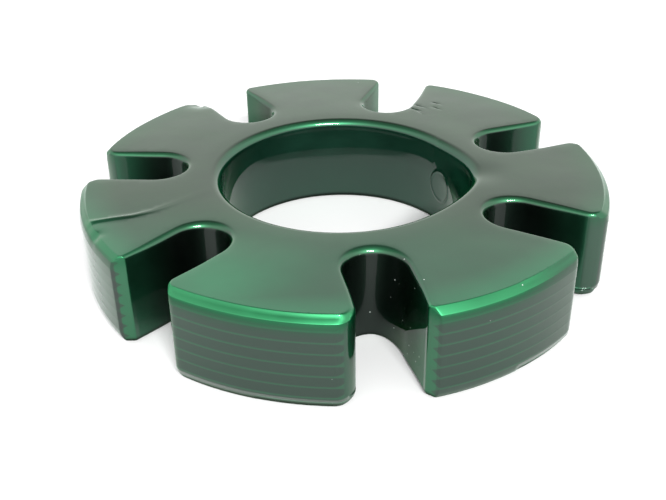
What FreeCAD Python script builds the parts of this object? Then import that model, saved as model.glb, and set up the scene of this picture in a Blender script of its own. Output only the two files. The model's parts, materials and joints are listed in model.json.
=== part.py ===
"""Elastomer spider of a jaw coupling: a round moulding with a bore, jaw slots and pads.

The origin is the centre of the bore at mid-thickness. +Z runs along the bore axis, and one
slot lies on -Y. The moulding is written as its centre ring and its seven pads, which meet
face to face on a cylinder around the bore.
"""
import FreeCAD, Part
import math
import os

from FreeCAD import Vector

# Driving dimensions, in millimetres
OUTER_DIAMETER = 120.0
BORE_DIAMETER = 55.0
THICKNESS = 21.5
PAD_COUNT = 7
SLOT_WIDTH = 13.0
SLOT_ROOT_DISTANCE = 36.9  # from the bore axis to the innermost point of a slot
RIDGE_COUNT = 7  # fine horizontal ridges on each pad's outer face
RIDGE_PITCH = 2.53
GROOVE_DEPTH = 0.15  # of the shallow hollows between the ridges
SHOULDER_START = 6.9  # height above mid-thickness where the outer wall starts to lean inwards
SHOULDER_RADIUS = 8.0
OUTER_BEVEL = 1.4
BORE_EDGE_RADIUS = 1.8
SLOT_EDGE_RADIUS = 1.3
CORNER_CHAMFER = 2.2  # on the four upright corners of each pad
RING_OVERLAP = 1.6  # how far the centre ring reaches past the slot roots
CUT_ALLOWANCE = 5.0  # how far a cutting tool runs past the body

OUTER_RADIUS = OUTER_DIAMETER / 2
BORE_RADIUS = BORE_DIAMETER / 2
TOP = THICKNESS / 2
SLOT_HALF_WIDTH = SLOT_WIDTH / 2
SLOT_PITCH = 360.0 / PAD_COUNT
RING_RADIUS = SLOT_ROOT_DISTANCE + RING_OVERLAP
AXIS = Vector(0, 0, 1)
CENTRE = Vector(0, 0, 0)


def arc(start, middle, end):
    """A circular edge through three points."""
    return Part.Arc(start, middle, end).toShape()


def bore_edge(side):
    """The rounded bore edge at the top (side 1) or the bottom (side -1), from the wall outwards."""
    centre_x = BORE_RADIUS + BORE_EDGE_RADIUS
    centre_z = side * (TOP - BORE_EDGE_RADIUS)
    diagonal = BORE_EDGE_RADIUS * math.sqrt(0.5)
    wall = Vector(BORE_RADIUS, 0, centre_z)
    middle = Vector(centre_x - diagonal, 0, centre_z + side * diagonal)
    face = Vector(centre_x, 0, side * TOP)
    return wall, middle, face


def wall_point(height, depth):
    """A point of the outer wall's outline, at a depth under the crests of the ridges."""
    lean = max(0.0, abs(height) - SHOULDER_START)
    inset = SHOULDER_RADIUS - math.sqrt(SHOULDER_RADIUS**2 - lean**2)
    return Vector(OUTER_RADIUS - inset - depth, 0, height)


def outer_points():
    """The outer wall's outline from the top bevel down to the bottom bevel, over the ridges."""
    highest = TOP - OUTER_BEVEL
    middle = (RIDGE_COUNT - 1) / 2
    ridges = [(middle - number) * RIDGE_PITCH for number in range(RIDGE_COUNT)]
    crests = [highest] + ridges + [-highest]
    points = [Vector(OUTER_RADIUS - OUTER_BEVEL, 0, TOP), wall_point(highest, 0)]
    for above, below in zip(crests, crests[1:]):
        points.append(wall_point((above + below) / 2, GROOVE_DEPTH))
        points.append(wall_point(below, 0))
    points.append(Vector(OUTER_RADIUS - OUTER_BEVEL, 0, -TOP))
    return points


def blank():
    """The moulding before its slots: the section turned about the bore axis."""
    top_wall, top_middle, top_face = bore_edge(1)
    low_wall, low_middle, low_face = bore_edge(-1)
    outline = [top_face] + outer_points() + [low_face]
    edges = [Part.makeLine(a, b) for a, b in zip(outline, outline[1:])]
    edges.append(arc(low_face, low_middle, low_wall))
    edges.append(Part.makeLine(low_wall, top_wall))
    edges.append(arc(top_wall, top_middle, top_face))
    section = Part.Face(Part.Wire(edges))
    return section.revolve(CENTRE, AXIS, 360)


def slot_tool():
    """The space of the slot on -Y: parallel sides, a round root and a chamfered mouth."""
    root_centre = -(SLOT_ROOT_DISTANCE + SLOT_HALF_WIDTH)
    corner = -math.sqrt(OUTER_RADIUS**2 - SLOT_HALF_WIDTH**2)
    flare_start = corner + CORNER_CHAMFER
    outside = -(OUTER_RADIUS + CUT_ALLOWANCE)
    flare_width = SLOT_HALF_WIDTH + flare_start - outside
    low = -(TOP + CUT_ALLOWANCE)
    left = [
        Vector(-SLOT_HALF_WIDTH, root_centre, low),
        Vector(-SLOT_HALF_WIDTH, flare_start, low),
        Vector(-flare_width, outside, low),
    ]
    right = [Vector(-point.x, point.y, point.z) for point in reversed(left)]
    outline = left + right
    root = Vector(0, -SLOT_ROOT_DISTANCE, low)
    edges = [Part.makeLine(a, b) for a, b in zip(outline, outline[1:])]
    edges.append(arc(outline[-1], root, outline[0]))
    return Part.Face(Part.Wire(edges)).extrude(AXIS * (2 * (TOP + CUT_ALLOWANCE)))


def turned(shape, degrees):
    """A copy of a shape, turned about the bore axis."""
    copy = shape.copy()
    copy.rotate(CENTRE, AXIS, degrees)
    return copy


def slot_edges(body):
    """The edges where a slot's sides and root meet the top and bottom faces."""
    smallest = SLOT_ROOT_DISTANCE - RING_OVERLAP
    found = []
    for edge in body.Edges:
        middle = edge.valueAt((edge.FirstParameter + edge.LastParameter) / 2)
        flat = all(abs(abs(point.z) - TOP) < 1e-6 for point in [middle] + [v.Point for v in edge.Vertexes])
        radius = math.hypot(middle.x, middle.y)
        angle = math.degrees(math.atan2(middle.y, middle.x)) + 90
        off_slot = abs((angle + SLOT_PITCH / 2) % SLOT_PITCH - SLOT_PITCH / 2)
        sideways = radius * math.sin(math.radians(off_slot))
        if flat and radius > smallest and sideways < SLOT_HALF_WIDTH + 1e-6:
            found.append(edge)
    return found


def moulding():
    """The whole spider in one solid."""
    tools = [turned(slot_tool(), number * SLOT_PITCH) for number in range(PAD_COUNT)]
    body = blank().cut(tools)
    return body.makeFillet(SLOT_EDGE_RADIUS, slot_edges(body))


def pad_number(pad):
    """Pads are numbered counter-clockwise from the one just after the slot on -Y."""
    middle = pad.CenterOfMass
    angle = (math.degrees(math.atan2(middle.y, middle.x)) + 90) % 360
    return int(angle // SLOT_PITCH) + 1


def main():
    os.makedirs("parts", exist_ok=True)
    body = moulding()
    core = Part.makeCylinder(RING_RADIUS, THICKNESS + 2 * CUT_ALLOWANCE, Vector(0, 0, -TOP - CUT_ALLOWANCE))
    nodes = {"centre_ring": body.common(core).Solids[0]}
    for pad in body.cut(core).Solids:
        nodes[f"pad_{pad_number(pad)}"] = pad
    for name, shape in sorted(nodes.items()):
        print(name, "valid" if shape.isValid() else "INVALID", round(shape.Volume, 1), "mm3")
        shape.exportStep(f"parts/{name}.step")
    print("whole", round(body.Volume, 1), "mm3, nodes", len(nodes))


main()
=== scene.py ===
"""The elastomer spider of a jaw coupling: one glossy, dark green polyurethane casting.

The CAD nodes are regions of one moulding, so a single seamless mesh stands for all of them.
Shapes are worked out in millimetres about the bore's centre and scaled to metres at the end.
Slots are numbered counter-clockwise from the one on -Y. Side 1 of a slot is the one that comes
next counter-clockwise, and side -1 is the other.
"""
import json
import math
import random

import bpy
import numpy as np
from mathutils import Matrix, Vector, noise
from mathutils.geometry import delaunay_2d_cdt


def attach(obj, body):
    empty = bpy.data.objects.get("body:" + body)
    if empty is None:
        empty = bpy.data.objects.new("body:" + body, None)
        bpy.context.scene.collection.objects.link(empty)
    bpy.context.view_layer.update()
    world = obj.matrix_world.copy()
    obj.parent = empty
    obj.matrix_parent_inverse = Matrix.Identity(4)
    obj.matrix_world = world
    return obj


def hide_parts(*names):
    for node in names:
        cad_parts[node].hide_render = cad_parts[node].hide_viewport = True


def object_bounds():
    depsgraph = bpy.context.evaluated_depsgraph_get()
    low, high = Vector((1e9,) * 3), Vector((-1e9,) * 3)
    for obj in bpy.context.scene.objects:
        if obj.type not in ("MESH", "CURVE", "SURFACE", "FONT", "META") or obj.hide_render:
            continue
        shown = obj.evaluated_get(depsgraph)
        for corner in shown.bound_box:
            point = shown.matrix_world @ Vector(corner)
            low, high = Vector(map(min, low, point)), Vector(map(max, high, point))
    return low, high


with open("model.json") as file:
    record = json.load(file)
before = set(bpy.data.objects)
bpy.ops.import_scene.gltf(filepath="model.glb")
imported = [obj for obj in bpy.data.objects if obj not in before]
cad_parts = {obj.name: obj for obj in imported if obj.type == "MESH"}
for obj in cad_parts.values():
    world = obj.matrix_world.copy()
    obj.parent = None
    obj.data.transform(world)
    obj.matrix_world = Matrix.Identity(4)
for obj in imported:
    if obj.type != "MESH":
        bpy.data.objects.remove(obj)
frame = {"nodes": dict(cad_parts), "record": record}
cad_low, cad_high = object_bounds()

MM = 0.001

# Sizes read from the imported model, in millimetres
MOUNTS = {mount["name"]: mount for mount in frame["record"]["mounts"]}
OUTER_RADIUS = cad_high.y / MM
TOP = cad_high.z / MM
BORE_RADIUS = MOUNTS["bore"]["dims"]["r_mm"]
SLOT_COUNT = sum(name.startswith("jaw_slot") for name in MOUNTS)
HALF_PITCH = math.pi / SLOT_COUNT

# Slots, in millimetres. A root is half an ellipse, and each pair of its sizes is for a slot with
# parallel sides and for a fully tapered one.
SLOT_HALF = 6.5
ROOT_AT = 36.2  # distance of a slot's root from the axis
ROOT_LENGTH = (6.9, 9.8)  # half axis along the slot
ROOT_HALF = (6.4, 5.4)  # half axis across the slot
TAPERED_SIDE = (0, 1)  # the one side, by slot and side, that tapers towards the bottom
TAPER_HEIGHTS = (9.0, -9.0)  # where the taper begins, and where it is complete
TOP_EDGES = (1.6, 1.3, 0.8, 0.35)  # rounded edges at a slot's root, side, mouth and corner strip
FOOT_EDGES = (1.0, 1.1, 1.2, 1.2)

# The pads' outer walls and upright corners, in millimetres
TOP_BEVEL = 1.3
FOOT_BEVEL = 0.9
TOP_BEVEL_SOFTNESS = 0.1  # how far each side of a bevel's edge is rounded
FOOT_BEVEL_SOFTNESS = 0.45
SHOULDER_LENGTH = 2.4
SHOULDER_RADIUS = 9.0
RIDGE_COUNT = 7
RIDGE_PITCH = 2.53
RIDGE_HEIGHT = 0.02
RIDGE_WIDTH = 0.16
CORNER_CHAMFER = 2.5
CORNER_SOFTNESS = 0.3

# What full wear adds to a corner's chamfer, to its softness and to the edge above it
WORN_CHAMFER = 1.0
WORN_SOFTNESS = 1.7
WORN_EDGE = 0.9
LARGEST_STRIP_EDGE = 2.2

# The bore, in millimetres
BORE_TOP_EDGE = 2.6  # radius of the rounded edge at the top of the bore
BORE_BACK_EDGE = 1.8  # the same, at the back
BORE_FOOT_EDGE = 1.0
BORE_FLARE = 0.6  # how much wider the bore is at its top than at its foot, at the back
WORN_FLARE = 2.6  # the same, at the one place where the bore's edge is worn away
FLARE_DEPTH = 0.4  # share of the wall's height that the flare reaches down
BORE_BACK = (85.0, 1.1)  # direction in degrees, and width in radians
BORE_WORN = (-12.0, 0.42)

# How worn each pad's upright corners are, by slot and side of the slot: 0 crisp, 1 well rounded
WEAR = {
    (0, -1): 1.0, (0, 1): 0.0,
    (1, -1): 1.0, (1, 1): 0.8,
    (2, -1): 0.7, (2, 1): 0.8,
    (3, -1): 0.1, (3, 1): 0.4,
    (4, -1): 0.3, (4, 1): 1.0,
    (5, -1): 0.8, (5, 1): 0.9,
    (6, -1): 0.0, (6, 1): 0.6,
}


def ease(low, high, value):
    """A smooth step from 0 at low to 1 at high."""
    share = np.clip((value - low) / (high - low), 0.0, 1.0)
    return share * share * (3 - 2 * share)


def between(start, end, share):
    """The value that lies a share of the way from start to end."""
    return start + (end - start) * share


def bezier(start, corner, end, count):
    """Points that round a corner, both ends included."""
    share = np.linspace(0, 1, count)[:, None]
    start, corner, end = (np.asarray(point, float) for point in (start, corner, end))
    return (1 - share) ** 2 * start + 2 * share * (1 - share) * corner + share**2 * end


# ---------------------------------------------------------------- outer wall and edges


def wall_inset(height):
    """How far the outer wall lies inside the outer radius at a height above mid-thickness."""
    over = max(0.0, abs(height) - (TOP - TOP_BEVEL - SHOULDER_LENGTH))
    shoulder = SHOULDER_RADIUS - math.sqrt(SHOULDER_RADIUS**2 - over**2)
    nearest = abs((height + RIDGE_PITCH / 2) % RIDGE_PITCH - RIDGE_PITCH / 2)
    return shoulder + RIDGE_HEIGHT * (1 - math.exp(-((nearest / RIDGE_WIDTH) ** 2)))


def bevel_path(size, soft):
    """An outer edge from the flat face over the bevel to the wall, as (inset, height) pairs."""
    drop = wall_inset(TOP - size)
    upper = np.array([drop + size, TOP])
    lower = np.array([drop, TOP - size])
    along = (lower - upper) / np.linalg.norm(lower - upper)
    first = bezier(upper + (soft, 0), upper, upper + along * soft, 4)
    wall_point = np.array([wall_inset(lower[1] - soft), lower[1] - soft])
    second = bezier(lower - along * soft, lower, wall_point, 4)
    middle = (upper + lower)[None, :] / 2
    return np.vstack([first, middle, second])


TOP_PATH = bevel_path(TOP_BEVEL, TOP_BEVEL_SOFTNESS)
FOOT_PATH = bevel_path(FOOT_BEVEL, FOOT_BEVEL_SOFTNESS)
CAP_LEVELS = len(TOP_PATH)


def wall_heights():
    """Heights of the rows between the two bevels, closest together at the ridges."""
    offsets = RIDGE_WIDTH * np.array([-2.0, -1.2, -0.6, 0.0, 0.6, 1.2, 2.0])
    middle = (RIDGE_COUNT - 1) / 2
    ridges = [(number - middle) * RIDGE_PITCH for number in range(RIDGE_COUNT)]
    halfway = [(number - middle - 0.5) * RIDGE_PITCH for number in range(RIDGE_COUNT + 1)]
    rows = [ridge + offset for ridge in ridges for offset in offsets] + halfway
    gap = 0.15
    highest, lowest = TOP_PATH[-1][1] - gap, gap - FOOT_PATH[-1][1]
    return sorted((row for row in rows if lowest < row < highest), reverse=True)


# ---------------------------------------------------------------- plan outline

# Points on each stretch of half a slot's outline, from the middle of the root to mid-pad
ROOT_POINTS = 19
SIDE_POINTS = 16
CORNER_POINTS = 5
STRIP_POINTS = 4
ARC_POINTS = 26
SLOT_POINTS = ROOT_POINTS + SIDE_POINTS
EDGE_POINTS = SLOT_POINTS + CORNER_POINTS + STRIP_POINTS

# How much each point follows the outer wall's bevel, 0 to 1, and not the slot's rounded edge
OUTER_SHARE = np.ones(EDGE_POINTS + CORNER_POINTS + ARC_POINTS)
OUTER_SHARE[:EDGE_POINTS] = 0.0
OUTER_SHARE[EDGE_POINTS - STRIP_POINTS : EDGE_POINTS] = np.linspace(0, 1, STRIP_POINTS + 1)[1:]


def edge_stretches(edges, wear):
    """The radius of the rounded edge at each point from a slot's root to the end of the strip."""
    root_edge, side_edge, mouth_edge, strip_edge = edges
    strip_edge = min(strip_edge + wear * WORN_EDGE, LARGEST_STRIP_EDGE)
    mouth_edge = max(mouth_edge, strip_edge)
    root = between(root_edge, side_edge, ease(0.2, 1.0, np.linspace(0, 1, ROOT_POINTS)))
    side = between(side_edge, mouth_edge, ease(0.3, 1.0, np.linspace(0, 1, SIDE_POINTS + 1)[1:]))
    corner = between(mouth_edge, strip_edge, np.linspace(0, 1, CORNER_POINTS + 1)[1:])
    return np.concatenate([root, side, corner, np.full(STRIP_POINTS, strip_edge)])


def slot_side(inset, end_along, taper):
    """The root and one side of a slot, up to where its corner begins."""
    length, half = between(*ROOT_LENGTH, taper), between(*ROOT_HALF, taper)
    angle = np.linspace(0, math.pi / 2, ROOT_POINTS)
    root = np.stack([ROOT_AT + length * (1 - np.cos(angle)), half * np.sin(angle)], 1)
    share = np.linspace(0, 1, SIDE_POINTS + 1)[1:]
    along = between(ROOT_AT + length, end_along, share)
    across = half + (SLOT_HALF - half) * share**2 * 1.15 / (share + 0.15)
    side = np.vstack([root, np.stack([along, across], 1)])
    run = np.gradient(side, axis=0)
    run[0] = (0, 1)
    run[-1] = (1, 0)
    normal = np.stack([-run[:, 1], run[:, 0]], 1) / np.linalg.norm(run, axis=1)[:, None]
    return side + normal * inset[:SLOT_POINTS, None]


def strip_ends(inset, radius, wear):
    """The two ends of a corner strip, at the slot's side and at the outer wall."""
    chamfer = CORNER_CHAMFER + wear * WORN_CHAMFER
    corner_along = math.sqrt(OUTER_RADIUS**2 - SLOT_HALF**2)
    mouth_inset, strip_inset = inset[SLOT_POINTS - 1], inset[-1]
    offset = SLOT_HALF - corner_along + chamfer + strip_inset * math.sqrt(2)
    inner = np.array([SLOT_HALF + mouth_inset - offset, SLOT_HALF + mouth_inset])
    outer_along = (-offset + math.sqrt(2 * radius**2 - offset**2)) / 2
    return inner, np.array([outer_along, outer_along + offset])


def half_outline(inset, radius, taper, wear):
    """Half a slot's outline, from the middle of its root to the middle of the pad.

    Points are (along the slot, across it). inset says how far each point lies inside the
    material, radius is the outer wall's, and taper runs from 0, parallel, to 1, fully tapered.
    """
    inner, outer = strip_ends(inset, radius, wear)
    reach = np.linalg.norm(outer - inner)
    slope = (outer - inner) / reach
    soft = min(CORNER_SOFTNESS + wear * WORN_SOFTNESS, 0.42 * reach)

    side = slot_side(inset, inner[0] - soft, taper)
    first = bezier(side[-1], inner, inner + slope * soft, CORNER_POINTS + 1)[1:]
    part = np.linspace(0, 1, STRIP_POINTS + 1)[1:, None]
    strip = first[-1] + (outer - slope * soft - first[-1]) * part
    turn = math.atan2(outer[1], outer[0]) + soft / radius
    past = radius * np.array([math.cos(turn), math.sin(turn)])
    second = bezier(strip[-1], outer, past, CORNER_POINTS + 1)[1:]
    sweep = np.linspace(turn, HALF_PITCH, ARC_POINTS + 1)[1:]
    arc = radius * np.stack([np.cos(sweep), np.sin(sweep)], 1)
    return np.vstack([side, first, strip, second, arc])


def cap_half(level, side, taper, wear):
    """Half an outline of the rounded edge above (side 1) or below (side -1) the wall."""
    bevel_inset, bevel_height = (TOP_PATH if side > 0 else FOOT_PATH)[level]
    turn = math.pi / 2 * min(1.0, level / (CAP_LEVELS - 2))
    radii = edge_stretches(TOP_EDGES if side > 0 else FOOT_EDGES, wear)
    share = taper if side < 0 else 0.0
    outline = half_outline(radii * (1 - math.sin(turn)), OUTER_RADIUS - bevel_inset, share, wear)
    tail = np.full(len(outline) - EDGE_POINTS, radii[-1])
    height = TOP - np.concatenate([radii, tail]) * (1 - math.cos(turn))
    if level == CAP_LEVELS - 1:
        height = np.minimum(height - 0.2, bevel_height)
    height = between(height, np.minimum(bevel_height, height), OUTER_SHARE)
    return outline, side * height


def top_half(level, taper, wear):
    return cap_half(level, 1, taper, wear)


def foot_half(level, taper, wear):
    return cap_half(level, -1, taper, wear)


def wall_half(height, taper, wear):
    share = taper * float(ease(*TAPER_HEIGHTS, height))
    outline = half_outline(np.zeros(EDGE_POINTS), OUTER_RADIUS - wall_inset(height), share, wear)
    return outline, np.full(len(outline), height)


def whole_row(make_half, level):
    """A closed row around the moulding. make_half gives the half outline beside each corner."""
    row = []
    for slot in range(SLOT_COUNT):
        for number, sign in ((slot, 1), ((slot + 1) % SLOT_COUNT, -1)):
            taper = float((number, sign) == TAPERED_SIDE)
            outline, height = make_half(level, taper, WEAR[number, sign])
            if sign < 0:
                outline, height = outline[1:-1][::-1], height[1:-1][::-1]
            turn = -math.pi / 2 + number * 2 * HALF_PITCH
            along, across = outline[:, 0], outline[:, 1] * sign
            x = along * math.cos(turn) - across * math.sin(turn)
            y = along * math.sin(turn) + across * math.cos(turn)
            row.append(np.stack([x, y, height], 1))
    return np.vstack(row)


def outer_rows():
    """All rows of the outer skin, from the top face's edge down to the bottom face's edge."""
    upper = [whole_row(top_half, level) for level in range(CAP_LEVELS)]
    walls = [whole_row(wall_half, height) for height in wall_heights()]
    lower = [whole_row(foot_half, level) for level in reversed(range(CAP_LEVELS))]
    return upper + walls + lower


# ---------------------------------------------------------------- bore

# The round mould mark on the bore's wall
MARK_ANGLE = math.radians(18.5)
MARK_HEIGHT = -0.5
MARK_RADIUS = 3.9
MARK_WIDTH = 0.22
MARK_RELIEF = 0.18


def bore_angles():
    """Angles of the bore's columns, closest together where the mould mark is."""
    reach = 0.2
    close = np.linspace(-reach, reach, 64) + MARK_ANGLE
    apart = np.linspace(reach, 2 * math.pi - reach, 222)[1:-1] + MARK_ANGLE
    return np.concatenate([close, apart])


def bump_at(angle, degrees, width):
    """A soft bump around one angle: 1 there, fading to nothing over a width in radians."""
    apart = (angle - math.radians(degrees) + math.pi) % (2 * math.pi) - math.pi
    return np.exp(-((apart / width) ** 2))


def bore_rows():
    """All rows of the bore's skin, from the top face's edge down to the bottom face's edge."""
    angle = bore_angles()
    back = bump_at(angle, *BORE_BACK)
    top_edge = between(BORE_TOP_EDGE, BORE_BACK_EDGE, back)
    flare = np.maximum(BORE_FLARE * back, WORN_FLARE * bump_at(angle, *BORE_WORN))
    foot = BORE_FOOT_EDGE - TOP
    rings = []
    for turn in np.linspace(0, math.pi / 2, 10):
        height = TOP - top_edge * (1 - math.cos(turn))
        rings.append((BORE_RADIUS + flare + top_edge * (1 - math.sin(turn)), height))
    for share in np.linspace(0, 1, 62)[1:-1]:
        height = (TOP - top_edge) * (1 - share) + foot * share
        rings.append((BORE_RADIUS + flare * ease(FLARE_DEPTH, 0.0, share), height))
    for turn in np.linspace(math.pi / 2, 0, 6):
        height = np.full(len(angle), BORE_FOOT_EDGE * (1 - math.cos(turn)) - TOP)
        rings.append((BORE_RADIUS + BORE_FOOT_EDGE * (1 - math.sin(turn)), height))
    return [np.stack([r * np.cos(angle), r * np.sin(angle), height], 1) for r, height in rings]


# ---------------------------------------------------------------- flat faces


def slot_distance(x, y):
    """Distance from the nearest slot's wall, measured in the material, as if roots were round."""
    angle = (np.arctan2(y, x) + math.pi / 2 + HALF_PITCH) % (2 * HALF_PITCH) - HALF_PITCH
    radius = np.hypot(x, y)
    along, across = radius * np.cos(angle), np.abs(radius * np.sin(angle))
    root_centre = ROOT_AT + SLOT_HALF
    beside = np.where(along > root_centre, across, np.hypot(along - root_centre, across))
    return beside - SLOT_HALF


def face_points(step, margin):
    """A triangular grid of points over a flat face, clear of its edges by a margin.

    A ring of points just inside the outer edge keeps the triangles there small.
    """
    rows = np.arange(-OUTER_RADIUS, OUTER_RADIUS, step * math.sqrt(0.75))
    points = []
    for number, y in enumerate(rows):
        x = np.arange(-OUTER_RADIUS + (number % 2) * step / 2, OUTER_RADIUS, step)
        points.append(np.stack([x, np.full(len(x), y)], 1))
    outer_edge = OUTER_RADIUS - TOP_PATH[0][0]
    points = np.vstack(points)
    radius = np.hypot(points[:, 0], points[:, 1])
    clear = (
        (radius > BORE_RADIUS + WORN_FLARE + BORE_TOP_EDGE + margin)
        & (radius < outer_edge - margin)
        & (slot_distance(points[:, 0], points[:, 1]) > TOP_EDGES[0] + margin)
    )
    turn = np.linspace(0, 2 * math.pi, 480, endpoint=False)[:, None]
    ring = np.hstack([np.cos(turn), np.sin(turn)]) * (outer_edge - 0.25)
    beside = slot_distance(ring[:, 0], ring[:, 1]) > TOP_EDGES[0] + 0.3
    return np.vstack([points[clear], ring[beside]])


def inside(loop, points):
    """Which points lie inside a closed loop."""
    x, y = points[:, :1], points[:, 1:2]
    ax, ay = loop[:, 0], loop[:, 1]
    bx, by = np.roll(ax, -1), np.roll(ay, -1)
    spans = (ay > y) != (by > y)
    rise = np.where(by == ay, 1.0, by - ay)
    return (spans & (x < ax + (y - ay) / rise * (bx - ax))).sum(axis=1) % 2 == 1


def fill_face(outer, inner, extra):
    """Triangles that fill the face between the outer row and the bore's row."""
    start, count = len(outer), len(inner)
    flat = np.vstack([outer[:, :2], inner[:, :2], extra])
    edges = [(i, (i + 1) % start) for i in range(start)]
    edges += [(start + i, start + (i + 1) % count) for i in range(count)]
    found = delaunay_2d_cdt([Vector(point) for point in flat], edges, [], 0, 1e-6, True)
    origin = np.array([ids[0] for ids in found[3]])
    triangles = origin[np.array(found[2])]
    centres = flat[triangles].mean(axis=1)
    kept = inside(outer[:, :2], centres) & ~inside(inner[:, :2], centres)
    return triangles[kept]


# ---------------------------------------------------------------- lines on the top face

# A raised flow line crosses one pad, and short scratches lie on another, in millimetres
FLOW_LINE = np.array([
    [-56.5, -15.4], [-51.8, -14.6], [-47.5, -14.2], [-43.0, -12.9],
    [-38.1, -10.3], [-33.7, -7.4], [-31.5, -5.6],
])
FLOW_WIDTH = 0.55
FLOW_HEIGHT = 0.4
SCRATCH_PLACE = (28.0, 33.0)
SCRATCH_COUNT = 6
SCRATCH_WIDTH = 0.22
SCRATCH_DEPTH = 0.12
SCRATCH_SEED = 4


def scratches(count):
    """Short scratches that lie about one way, scattered around one place."""
    pick = random.Random(SCRATCH_SEED)
    paths = []
    for _ in range(count):
        middle = np.array(SCRATCH_PLACE) + (pick.uniform(-4.5, 4.5), pick.uniform(-3.0, 3.0))
        turn = math.radians(pick.uniform(-75, -40))
        reach = pick.uniform(0.9, 2.4) * np.array([math.cos(turn), math.sin(turn)])
        paths.append(np.array([middle - reach, middle + reach]))
    return paths


# Each line's path, half width and height above the face
LINES = [(FLOW_LINE, FLOW_WIDTH, FLOW_HEIGHT)]
LINES += [(path, SCRATCH_WIDTH, -SCRATCH_DEPTH) for path in scratches(SCRATCH_COUNT)]


def distance_to_path(points, path):
    """Distance of each point from a path, and how far along it the nearest place is, 0 to 1."""
    best = np.full(len(points), 1e9)
    place = np.zeros(len(points))
    count = len(path) - 1
    for number, (a, b) in enumerate(zip(path, path[1:])):
        along = np.clip(((points - a) @ (b - a)) / ((b - a) @ (b - a)), 0, 1)
        gap = np.linalg.norm(points - (a + along[:, None] * (b - a)), axis=1)
        nearer = gap < best
        best[nearer] = gap[nearer]
        place[nearer] = (number + along[nearer]) / count
    return best, place


def line_points(path, width):
    """Extra points on and beside a line, so that the face can follow it."""
    offsets = (-1.9, -1.15, -0.55, 0, 0.55, 1.15, 1.9)
    rows = []
    for a, b in zip(path, path[1:]):
        run = (b - a) / np.linalg.norm(b - a)
        across = np.array([-run[1], run[0]])
        steps = max(2, int(np.linalg.norm(b - a) / (width * 1.1)))
        for share in np.linspace(0, 1, steps, endpoint=False):
            rows += [a + (b - a) * share + across * width * offset for offset in offsets]
    return np.array(rows)


def top_grid(grid):
    """The face points for the top face, where the grid makes way for points along the lines."""
    reach = OUTER_RADIUS - TOP_PATH[0][0] - 0.5
    beside = []
    for path, width, _ in LINES:
        grid = grid[distance_to_path(grid, path)[0] > 2.4 * width]
        placed = line_points(path, width)
        beside.append(placed[np.hypot(placed[:, 0], placed[:, 1]) < reach])
    return np.vstack([grid] + beside)


# ---------------------------------------------------------------- hand-cast unevenness

CORE_SHIFT = 0.7  # how far the mould's core, and so the bore and the roots, sat off centre
DENT = ((31.0, -7.0), 4.5, 0.45)  # place, size and depth
TORN_CORNER = ((-31.5, 47.5, TOP), 3.2)  # place and size
NICK = ((-54.6, -20.6, TOP - 0.9), 1.3)


def soft_noise(points, size, seed):
    """Smooth noise about zero at each point, with features of the given size."""
    shift = Vector((seed * 7.3, seed * 3.1, seed * 5.7))
    return np.array([noise.noise(Vector(point) / size + shift) for point in points])


def near(points, centre, size):
    """A soft spot of influence around a place: 1 at its centre, fading to nothing."""
    gap = np.linalg.norm(points - np.array(centre), axis=1)
    return np.exp(-((gap / size) ** 2))


def top_sink(points):
    """How far the top face sinks at each point, below the highest place of the moulding."""
    plan = points[:, :2]
    radius = np.hypot(plan[:, 0], plan[:, 1])
    to_slot = slot_distance(plan[:, 0], plan[:, 1])
    from_edge = np.maximum(0, np.minimum(to_slot, OUTER_RADIUS - radius))
    sink = 0.01 + 0.06 * np.exp(-from_edge / 1.5) + 0.24 * ease(37.0, 58.0, radius)
    flat = np.column_stack([plan, np.zeros(len(plan))])
    waves = 0.14 * (0.4 + soft_noise(flat, 17.0, 1)) + 0.02 * (0.5 + soft_noise(flat, 5.0, 2))
    sink += ease(32.0, 42.0, radius) * waves
    place, size, depth = DENT
    sink += depth * near(plan, place, size)
    for path, width, lift in LINES:
        gap, along = distance_to_path(plan, path)
        fade = 1 - 0.75 * ease(0.35, 1.0, along)
        sink -= lift * fade * np.exp(-((gap / width) ** 2))
    return np.maximum(0.0, sink)


def sink_faces(points):
    """Lets both flat faces sink, and the edges with them."""
    height = points[:, 2].copy()
    points[:, 2] -= ease(TOP - 4.5, TOP - 0.8, height) * top_sink(points)
    waves = 0.05 * np.maximum(0.0, 0.6 + soft_noise(points * (1, 1, 0), 12.0, 5))
    points[:, 2] += ease(TOP - 3.0, TOP - 0.3, -height) * waves


def ripple_walls(points, radius, across):
    """Lets the outer walls and the bore's wall wave a little."""
    wave = 0.05 * np.maximum(0.0, 0.6 + soft_noise(points, 14.0, 3))
    points -= across * (wave * ease(35.0, 50.0, radius))[:, None]
    bore_wave = 0.03 * soft_noise(points, 11.0, 4) * (1 - ease(28.0, 33.0, radius))
    points += across * bore_wave[:, None]


def raise_mark(points, radius, across):
    """Raises the mould mark's ring from the bore's wall."""
    angle = np.arctan2(points[:, 1], points[:, 0])
    turn = (angle - MARK_ANGLE + math.pi) % (2 * math.pi) - math.pi
    reach = np.hypot(turn * BORE_RADIUS, points[:, 2] - MARK_HEIGHT)
    on_wall = radius < BORE_RADIUS + 0.3
    ring = np.exp(-(((reach - MARK_RADIUS) / MARK_WIDTH) ** 2)) * on_wall
    points -= across * (MARK_RELIEF * ring)[:, None]


def damage_edges(points, across):
    """Tears one pad's corner and nicks another's outer edge."""
    torn = near(points, *TORN_CORNER)
    points[:, 2] -= torn * (0.9 + 0.7 * soft_noise(points, 2.2, 6))
    nick = near(points, *NICK)
    points -= across * (0.55 * nick)[:, None]
    points[:, 2] -= 0.3 * nick


def make_uneven(points):
    """Moves the skin a little, as a casting's skin is: never outwards past the true size."""
    radius = np.hypot(points[:, 0], points[:, 1])
    across = points / np.maximum(radius, 1e-9)[:, None] * (1, 1, 0)
    sink_faces(points)
    ripple_walls(points, radius, across)
    points[:, 0] -= CORE_SHIFT * (1 - ease(38.0, 54.0, radius))
    raise_mark(points, radius, across)
    damage_edges(points, across)
    return points


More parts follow.
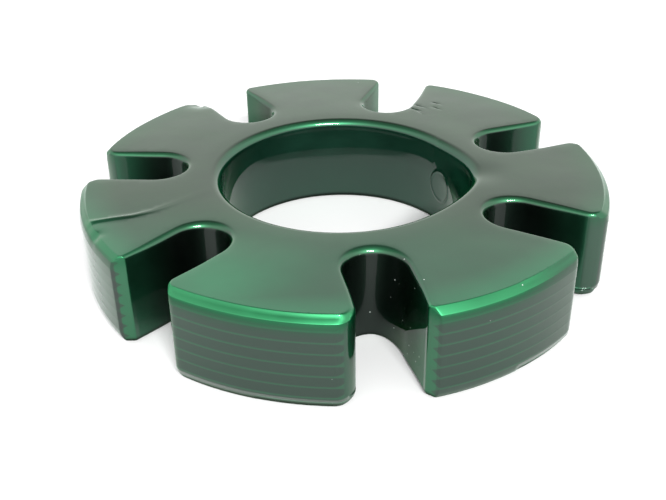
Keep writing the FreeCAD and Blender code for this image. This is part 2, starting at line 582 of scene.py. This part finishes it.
# ---------------------------------------------------------------- the moulding

FACE_STEP = 1.25
FACE_MARGIN = 0.55


def grid_faces(rows, outward):
    """Quads between successive closed rows of equal length."""
    count = len(rows[0])
    faces = []
    for level in range(len(rows) - 1):
        upper, lower = level * count, (level + 1) * count
        for i in range(count):
            j = (i + 1) % count
            quad = (upper + i, lower + i, lower + j, upper + j)
            faces.append(quad if outward else quad[::-1])
    return faces


def close_face(points, outer_ids, bore_ids, grid, side):
    """Closes the top (side 1) or bottom (side -1): all points so far, and the new triangles."""
    triangles = fill_face(points[outer_ids], points[bore_ids], grid)
    ids = np.concatenate([outer_ids, bore_ids, len(points) + np.arange(len(grid))])
    points = np.vstack([points, np.column_stack([grid, np.full(len(grid), side * TOP)])])
    found = ids[triangles]
    a, b, c = (points[found[:, corner]] for corner in range(3))
    upward = (b[:, 0] - a[:, 0]) * (c[:, 1] - a[:, 1]) > (b[:, 1] - a[:, 1]) * (c[:, 0] - a[:, 0])
    wrong = upward != (side > 0)
    found[wrong] = found[wrong][:, ::-1]
    return points, [tuple(triangle) for triangle in found.tolist()]


def spider_mesh():
    """Vertices and faces of the whole moulding, closed and seamless."""
    outer, bore = outer_rows(), bore_rows()
    outer_ids, bore_ids = np.arange(len(outer[0])), np.arange(len(bore[0]))
    bore_start = len(outer[0]) * len(outer)
    points = np.vstack(outer + bore)
    faces = grid_faces(outer, True)
    faces += [tuple(i + bore_start for i in face) for face in grid_faces(bore, False)]

    grid = face_points(FACE_STEP, FACE_MARGIN)
    outer_low = len(outer[0]) * (len(outer) - 1)
    bore_low = bore_start + len(bore[0]) * (len(bore) - 1)
    points, upper = close_face(points, outer_ids, bore_ids + bore_start, top_grid(grid), 1)
    points, lower = close_face(points, outer_ids + outer_low, bore_ids + bore_low, grid, -1)
    return make_uneven(points), faces + upper + lower


def crispness(points):
    """How crisp the upright corner nearest to each point is, 0 to 1."""
    turn = (np.arctan2(points[:, 1], points[:, 0]) + math.pi / 2) / (2 * HALF_PITCH)
    slot = np.round(turn).astype(int)
    side = np.where(turn > slot, 1, -1)
    return np.array([1 - WEAR[number % SLOT_COUNT, sign] for number, sign in zip(slot, side)])


def build_object(name, points, faces, material):
    mesh = bpy.data.meshes.new(name)
    mesh.from_pydata([tuple(point * MM) for point in points], [], faces)
    mesh.polygons.foreach_set("use_smooth", [True] * len(mesh.polygons))
    mesh.materials.append(material)
    crisp = mesh.attributes.new("crisp", "FLOAT", "POINT")
    crisp.data.foreach_set("value", crispness(points))
    mesh.validate()
    made = bpy.data.objects.new(name, mesh)
    bpy.context.scene.collection.objects.link(made)
    return made


# ---------------------------------------------------------------- material

# Colours of the body under its clear skin; most of them carry painted light or shade
WALL_AWAY = (0.028, 0.036, 0.032, 1)  # painted shade and painted light on the outer walls, away from the lamp and towards it
WALL_LIT = (0.017, 0.042, 0.028, 1)
# painted glow on the corner strips, a brighter green than the walls
STRIP_GLOW_GREEN = (0.012, 0.08, 0.038, 1)
# painted highlight lines at the ridges of the outer wall
RIDGE_HIGHLIGHT_GREEN = (0.012, 0.12, 0.05, 1)
# painted glow in a band just under the top bevel
UNDER_BEVEL_GLOW_GREEN = (0.006, 0.11, 0.042, 1)
BORE_GREEN = (0.012, 0.052, 0.032, 1)
# painted shade deep in the slots, and painted light at their mouths
SLOT_ROOT_SHADE = (0.013, 0.022, 0.017, 1)
SLOT_MOUTH_LIT = (0.018, 0.085, 0.045, 1)
# painted shade and painted light on the flat faces, away from the lamp and towards it, and their
# painted lit rim
FACE_AWAY = (0.005, 0.028, 0.012, 1)
FACE_LIT = (0.01, 0.085, 0.038, 1)
LIT_RIM_GREEN = (0.012, 0.22, 0.09, 1)
# painted highlight and glow on the rounded upper edges
EDGE_HIGHLIGHT_GREEN = (0.035, 0.26, 0.105, 1)
DUST = (0.4, 0.45, 0.42, 1)
# painted shade: near black at the foot, standing in for the contact shadow on the floor
FOOT_SHADE = (0.004, 0.006, 0.005, 1)
SPECULAR_TINT = (0.2, 0.6, 0.4, 1)

# Where colours and painted light lie, in degrees and millimetres
# the side that the painted light comes from
LIT_SIDE = -103.0
PAINTED_GLOW_CORNER = (-128.0, 53.0)  # direction and distance of the corner whose painted glow is strongest
PAINTED_GLOW_SIZE = 13.0
EDGE_LIGHT = (-90.0, 30.0)  # azimuth and elevation that the inner edges with the brightest painted highlight face
DUST_PLACE = (0.0, -46.0, 0.0)
DUST_SIZE = 12.0
DUST_SCALE = 700.0
FOOT_SHADE_TOP = 1.7  # height above the foot where the painted shade begins, and where it is full
FOOT_SHADE_FULL = 0.6
TOOTH_SLOPE = 1.3  # slope of the painted teeth that the ridge highlights form on the corner strips
# width of the painted ridge highlights
RIDGE_LINE_WIDTH = 0.22
# how far the painted glow reaches under the top bevel
UNDER_BEVEL_REACH = 1.9


class Nodes:
    """A short way to write a node tree."""

    def __init__(self, tree):
        self.tree = tree
        tree.nodes.clear()

    def add(self, kind, **settings):
        node = self.tree.nodes.new(kind)
        for name, value in settings.items():
            setattr(node, name, value)
        return node

    def put(self, socket, value):
        if isinstance(value, bpy.types.NodeSocket):
            self.tree.links.new(value, socket)
        else:
            socket.default_value = value

    def math(self, operation, first, second=0.0):
        node = self.add("ShaderNodeMath", operation=operation)
        for socket, value in zip(node.inputs, (first, second)):
            self.put(socket, value)
        return node.outputs[0]

    def times(self, first, second):
        return self.math("MULTIPLY", first, second)

    def larger(self, first, second):
        return self.math("MAXIMUM", first, second)

    def rest(self, share):
        """What is left of 1."""
        return self.math("SUBTRACT", 1.0, share)

    def vector(self, operation, first, second=(0, 0, 0)):
        node = self.add("ShaderNodeVectorMath", operation=operation)
        self.put(node.inputs[0], first)
        self.put(node.inputs[1], second)
        single = operation in ("LENGTH", "DISTANCE", "DOT_PRODUCT")
        return node.outputs["Value" if single else "Vector"]

    def z_part(self, vector):
        """The Z part of a vector."""
        node = self.add("ShaderNodeSeparateXYZ")
        self.put(node.inputs[0], vector)
        return node.outputs["Z"]

    def fall(self, value, size):
        """1 where the value is zero, fading to nothing over a size."""
        raised = self.math("POWER", self.math("DIVIDE", value, size), 2.0)
        return self.math("EXPONENT", self.times(raised, -1.0))

    def noise(self, position, scale, detail):
        node = self.add("ShaderNodeTexNoise")
        self.put(node.inputs["Vector"], position)
        node.inputs["Scale"].default_value = scale
        node.inputs["Detail"].default_value = detail
        node.inputs["Roughness"].default_value = 0.5
        return node.outputs["Fac"]

    def spread(self, value, low, high, new_low=0.0, new_high=1.0):
        """A smooth step from new_low, where the value is low, to new_high, where it is high."""
        node = self.add("ShaderNodeMapRange", interpolation_type="SMOOTHSTEP")
        for socket, number in zip(node.inputs, (value, low, high, new_low, new_high)):
            self.put(socket, number)
        return node.outputs[0]

    def mix(self, share, first, second):
        node = self.add("ShaderNodeMix", data_type="RGBA")
        self.put(node.inputs["Factor"], share)
        self.put(node.inputs["A"], first)
        self.put(node.inputs["B"], second)
        return node.outputs["Result"]


def direction(azimuth, elevation):
    """A unit vector from the object towards a place at an azimuth and elevation in degrees."""
    azimuth, elevation = math.radians(azimuth), math.radians(elevation)
    flat = math.cos(elevation)
    return Vector((math.cos(azimuth) * flat, math.sin(azimuth) * flat, math.sin(elevation)))


class Surface:
    """Where a point of the surface lies. Lengths are in metres, and the rest are 0 to 1."""

    def __init__(self, n):
        self.position = n.add("ShaderNodeTexCoord").outputs["Object"]
        self.normal = n.add("ShaderNodeNewGeometry").outputs["Normal"]
        self.height = n.z_part(self.position)
        self.flat = n.vector("MULTIPLY", self.position, (1, 1, 0))
        self.radius = n.vector("LENGTH", self.flat)
        self.level = n.math("ABSOLUTE", n.z_part(self.normal))
        self.crisp = n.add("ShaderNodeAttribute", attribute_name="crisp").outputs["Fac"]

        # How much each place faces the lamp's side, which steers the painted light
        self.towards_light = n.vector("DOT_PRODUCT", self.flat, direction(LIT_SIDE, 0.0))
        self.lit = n.spread(n.math("DIVIDE", self.towards_light, self.radius), 0.6, 0.85)
        # A painted glow around one corner, standing in for light from that side
        azimuth, distance = PAINTED_GLOW_CORNER
        from_corner = n.vector("DISTANCE", self.flat, direction(azimuth, 0.0) * distance * MM)
        self.painted_glow_corner = n.fall(from_corner, PAINTED_GLOW_SIZE * MM)

        # The outer wall, and with it the corner strips, which are wider where they are worn
        self.on_wall = n.spread(self.radius, (OUTER_RADIUS - 0.9) * MM, (OUTER_RADIUS - 0.4) * MM)
        strip_depth = n.math("SUBTRACT", 3.9 * MM, n.times(self.crisp, 1.4 * MM))
        reached = n.math("ADD", self.radius, strip_depth)
        self.on_outside = n.spread(reached, (OUTER_RADIUS - 0.4) * MM, OUTER_RADIUS * MM)
        # A band of painted glow just under the top bevel, stronger on the lit side
        below = n.math("SUBTRACT", (TOP - TOP_BEVEL) * MM, self.height)
        painted_glow_band = n.fall(n.larger(below, 0.0), UNDER_BEVEL_REACH * MM)
        self.painted_glow_band = n.times(painted_glow_band, n.spread(self.lit, 0.0, 1.0, 0.3, 0.9))

        upper_half = n.spread(self.height, 0.0, 1 * MM)
        only_above = n.spread(self.level, 0.9, 0.99, upper_half, 1.0)
        self.on_face = n.times(n.spread(self.level, 0.62, 0.95), only_above)


def outer_wall_colour(n, at):
    """The outer wall: painted highlight lines at the ridges, stronger towards the lamp, which
    widen into painted teeth on crisp corner strips, with painted glow on the strips and under the
    bevel.
    """
    to_ridge = n.math("PINGPONG", n.math("ABSOLUTE", at.height), RIDGE_PITCH / 2 * MM)
    below_wall = n.math("SUBTRACT", OUTER_RADIUS * MM, at.radius)
    # How far each point lies from a painted ridge highlight: thin lines on the wall, widening
    # into teeth on the strips
    skin = n.larger(n.math("SUBTRACT", n.times(to_ridge, TOOTH_SLOPE), below_wall), 0.0)
    teeth = n.spread(at.crisp, 0.35, 0.6)
    shown = n.spread(at.on_wall, 0.0, 1.0, teeth, n.times(at.lit, 0.5))
    ridge_highlight = n.times(n.fall(skin, RIDGE_LINE_WIDTH * MM), shown)
    # Painted light and shade: the walls are greener where they face the lamp
    colour = n.mix(at.lit, WALL_AWAY, WALL_LIT)
    # Painted glow: the corner strips are a brighter green
    colour = n.mix(n.spread(at.on_wall, 0.0, 1.0, 0.6, 0.0), colour, STRIP_GLOW_GREEN)
    colour = n.mix(ridge_highlight, colour, RIDGE_HIGHLIGHT_GREEN)
    # Painted glow just under the top bevel
    return n.mix(at.painted_glow_band, colour, UNDER_BEVEL_GLOW_GREEN)


def inner_wall_colour(n, at):
    """The bore's wall, and the slots' walls: painted shade darkens the slots towards their roots,
    and painted light makes them greener at the mouth.
    """
    slot = n.mix(n.spread(at.radius, 44 * MM, 57 * MM), SLOT_ROOT_SHADE, SLOT_MOUTH_LIT)
    past_bore = n.spread(at.radius, (BORE_RADIUS + 2.5) * MM, (BORE_RADIUS + 5) * MM)
    return n.mix(past_bore, BORE_GREEN, slot)


def face_colour(n, at):
    """The flat faces: painted light makes them greener towards the lamp, and a painted lit rim
    greener near their outer edges on that side and at the corner with painted glow.
    """
    streak = n.noise(n.vector("MULTIPLY", at.position, (1, 1, 3.0)), 38.0, 2.0)
    share = n.spread(at.towards_light, 10 * MM, 45 * MM)
    share = n.times(share, n.spread(streak, 0.3, 0.7, 0.75, 1.1))
    # A painted lit rim near the outer edges on the lamp's side
    rim = n.spread(at.towards_light, 0.0, 40 * MM, 0.15, 0.6)
    rim = n.times(n.spread(at.radius, 50 * MM, 59.5 * MM), rim)
    rim = n.larger(rim, n.times(at.painted_glow_corner, 0.75))
    return n.mix(rim, n.mix(share, FACE_AWAY, FACE_LIT), LIT_RIM_GREEN)


def painted_edge_glow(n, at):
    """How much painted glow and highlight the rounded upper edges get, standing in for light
    through the thin casting: most where they face the lamp and on the lit side.
    """
    edge = n.times(n.spread(at.level, 0.2, 0.5), n.spread(at.level, 0.97, 0.85))
    edge = n.times(edge, n.spread(at.height, 0.0, 5 * MM))
    facing = n.vector("DOT_PRODUCT", at.normal, direction(*EDGE_LIGHT))
    inner = n.larger(n.spread(facing, 0.45, 0.9, 0.08, 0.4), n.times(at.painted_glow_corner, 0.8))
    outer = n.spread(at.lit, 0.0, 1.0, 0.2, 1.0)
    return n.times(edge, n.spread(at.radius, 56 * MM, 58 * MM, inner, outer))


def dust_specks(n, at):
    """Where pale specks of dust lie: here and there, and mostly in one slot."""
    cells = n.add("ShaderNodeTexVoronoi", feature="F1")
    n.put(cells.inputs["Vector"], at.position)
    cells.inputs["Scale"].default_value = DUST_SCALE
    from_place = n.vector("DISTANCE", at.flat, Vector(DUST_PLACE) * MM)
    dusty = n.fall(from_place, DUST_SIZE * MM)
    limit = n.math("SUBTRACT", 0.93, n.times(dusty, 0.45))
    picked = n.math("GREATER_THAN", cells.outputs["Color"], limit)
    return n.times(n.spread(cells.outputs["Distance"], 0.13, 0.07), picked)


def skin_dullness(n, at, edge, foot_shade):
    """How much of the clear skin is dulled: in slots, on and under the bevel, and at the foot
    under its painted shade.
    """
    in_slot = n.times(n.spread(at.level, 0.4, 0.1), n.spread(at.radius, 56.8 * MM, 56.2 * MM))
    past_bore = n.spread(at.radius, (BORE_RADIUS + 4) * MM, (BORE_RADIUS + 7) * MM)
    in_slot = n.times(in_slot, past_bore)
    painted_glow_band = n.times(n.times(at.painted_glow_band, at.on_outside), n.rest(at.on_face))
    on_bevel = n.times(edge, n.spread(at.radius, 57 * MM, 58 * MM))
    dull = n.larger(n.times(in_slot, 0.5), n.times(foot_shade, 0.8))
    dull = n.larger(dull, n.times(painted_glow_band, 0.75))
    return n.larger(dull, n.times(on_bevel, 0.6))


def skin_bump(n, at):
    """The clear skin's faint orange peel."""
    bump = n.add("ShaderNodeBump")
    bump.inputs["Strength"].default_value = 0.05
    bump.inputs["Distance"].default_value = 0.05 * MM
    n.put(bump.inputs["Height"], n.noise(at.position, 900.0, 2.0))
    return bump.outputs[0]


def polyurethane():
    """Glossy cast polyurethane: a pearly green body under a clear, mirror-like skin."""
    material = bpy.data.materials.new("polyurethane")
    material.use_nodes = True
    n = Nodes(material.node_tree)
    at = Surface(n)
    # Painted highlight and glow on the rounded upper edges
    edge = painted_edge_glow(n, at)
    specks = dust_specks(n, at)
    # Painted shade at the foot: the body darkens towards the bottom, and the skin is dulled there
    foot_shade = n.spread(at.height, (FOOT_SHADE_TOP - TOP) * MM, (FOOT_SHADE_FULL - TOP) * MM)

    # The body's colour carries painted light and shade, and its dust specks are its own
    walls = n.mix(at.on_outside, inner_wall_colour(n, at), outer_wall_colour(n, at))
    body = n.mix(at.on_face, walls, face_colour(n, at))
    body = n.mix(edge, body, EDGE_HIGHLIGHT_GREEN)
    body = n.mix(specks, body, DUST)
    body = n.mix(foot_shade, body, FOOT_SHADE)

    shader = n.add("ShaderNodeBsdfPrincipled")
    n.put(shader.inputs["Base Color"], body)
    n.put(shader.inputs["Metallic"], n.rest(specks))
    cloud = n.noise(at.position, 90.0, 4.0)
    n.put(shader.inputs["Roughness"], n.spread(cloud, 0.3, 0.7, 0.38, 0.48))
    shader.inputs["Specular Tint"].default_value = SPECULAR_TINT
    n.put(shader.inputs["Coat Weight"], n.rest(skin_dullness(n, at, edge, foot_shade)))
    shader.inputs["Coat Roughness"].default_value = 0.035
    shader.inputs["Coat IOR"].default_value = 1.5
    n.put(shader.inputs["Coat Normal"], skin_bump(n, at))
    n.put(n.add("ShaderNodeOutputMaterial").inputs[0], shader.outputs[0])
    return material


# ---------------------------------------------------------------- studio

# Angles are in degrees, and the lamp's distance, width and height are in metres
CAMERA_AZIMUTH = -98.83
CAMERA_ELEVATION = 28.49
CAMERA_ROLL = -0.865
CAMERA_DISTANCE = 226.6 * MM
CAMERA_AIM = Vector((-5.28, -17.88, 0.0)) * MM
CAMERA_LENS = 51.8
SENSOR_WIDTH = 36.0
LAMP_AZIMUTH = -86.0
LAMP_ELEVATION = 34.5
LAMP_DISTANCE = 2.5
LAMP_WIDTH = 0.9
LAMP_HEIGHT = 0.17
LAMP_POWER = 78.0
SURROUND = (34.0, 1.85)  # elevation and brightness where the bright surround ends
CEILING = (62.0, 0.4)  # and where the dim ceiling begins
FLOOR_HALF = 6.0
FLOOR_WHITE = (0.88, 0.88, 0.88, 1)


def facing_turn(towards):
    """The rotation that makes a camera or a lamp look along a vector."""
    return towards.to_track_quat("-Z", "Y").to_matrix()


def make_camera():
    data = bpy.data.cameras.new("camera")
    data.sensor_width = SENSOR_WIDTH
    data.lens = CAMERA_LENS
    data.clip_start = 0.01
    camera = bpy.data.objects.new("camera", data)
    bpy.context.scene.collection.objects.link(camera)
    place = direction(CAMERA_AZIMUTH, CAMERA_ELEVATION) * CAMERA_DISTANCE
    roll = Matrix.Rotation(math.radians(CAMERA_ROLL), 3, "Z")
    turn = facing_turn(CAMERA_AIM - place) @ roll
    camera.matrix_world = Matrix.Translation(place) @ turn.to_4x4()
    bpy.context.scene.camera = camera


def make_floor():
    """A plain white floor."""
    material = bpy.data.materials.new("floor")
    material.use_nodes = True
    n = Nodes(material.node_tree)
    shader = n.add("ShaderNodeBsdfPrincipled")
    shader.inputs["Base Color"].default_value = FLOOR_WHITE
    shader.inputs["Roughness"].default_value = 0.9
    shader.inputs["Specular IOR Level"].default_value = 0.0
    n.put(n.add("ShaderNodeOutputMaterial").inputs[0], shader.outputs[0])
    mesh = bpy.data.meshes.new("floor")
    corners = [(x * FLOOR_HALF, y * FLOOR_HALF) for x, y in ((-1, -1), (1, -1), (1, 1), (-1, 1))]
    mesh.from_pydata([(x, y, cad_low.z) for x, y in corners], [], [(0, 1, 2, 3)])
    mesh.materials.append(material)
    floor = bpy.data.objects.new("floor", mesh)
    bpy.context.scene.collection.objects.link(floor)


def make_world():
    """A bright white surround low down all round, under a dim ceiling."""
    world = bpy.data.worlds.new("surround")
    bpy.context.scene.world = world
    world.use_nodes = True
    n = Nodes(world.node_tree)
    rise = n.z_part(n.add("ShaderNodeTexCoord").outputs["Generated"])
    (low, bright), (high, dim) = SURROUND, CEILING
    low, high = math.sin(math.radians(low)), math.sin(math.radians(high))
    background = n.add("ShaderNodeBackground")
    n.put(background.inputs["Strength"], n.spread(rise, low, high, bright, dim))
    n.put(n.add("ShaderNodeOutputWorld").inputs[0], background.outputs[0])


def make_lamp():
    """The key light, a wide low softbox in front."""
    data = bpy.data.lights.new("key", "AREA")
    data.shape = "RECTANGLE"
    data.size = LAMP_WIDTH
    data.size_y = LAMP_HEIGHT
    data.energy = LAMP_POWER
    lamp = bpy.data.objects.new("key", data)
    bpy.context.scene.collection.objects.link(lamp)
    place = direction(LAMP_AZIMUTH, LAMP_ELEVATION) * LAMP_DISTANCE
    lamp.matrix_world = Matrix.Translation(place) @ facing_turn(-place).to_4x4()


def make_studio():
    make_camera()
    make_floor()
    make_world()
    make_lamp()
    bpy.context.scene.view_settings.view_transform = "Standard"


make_studio()
green = polyurethane()
spider = build_object("spider", *spider_mesh(), green)
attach(spider, "root")
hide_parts(*sorted(frame["nodes"]))
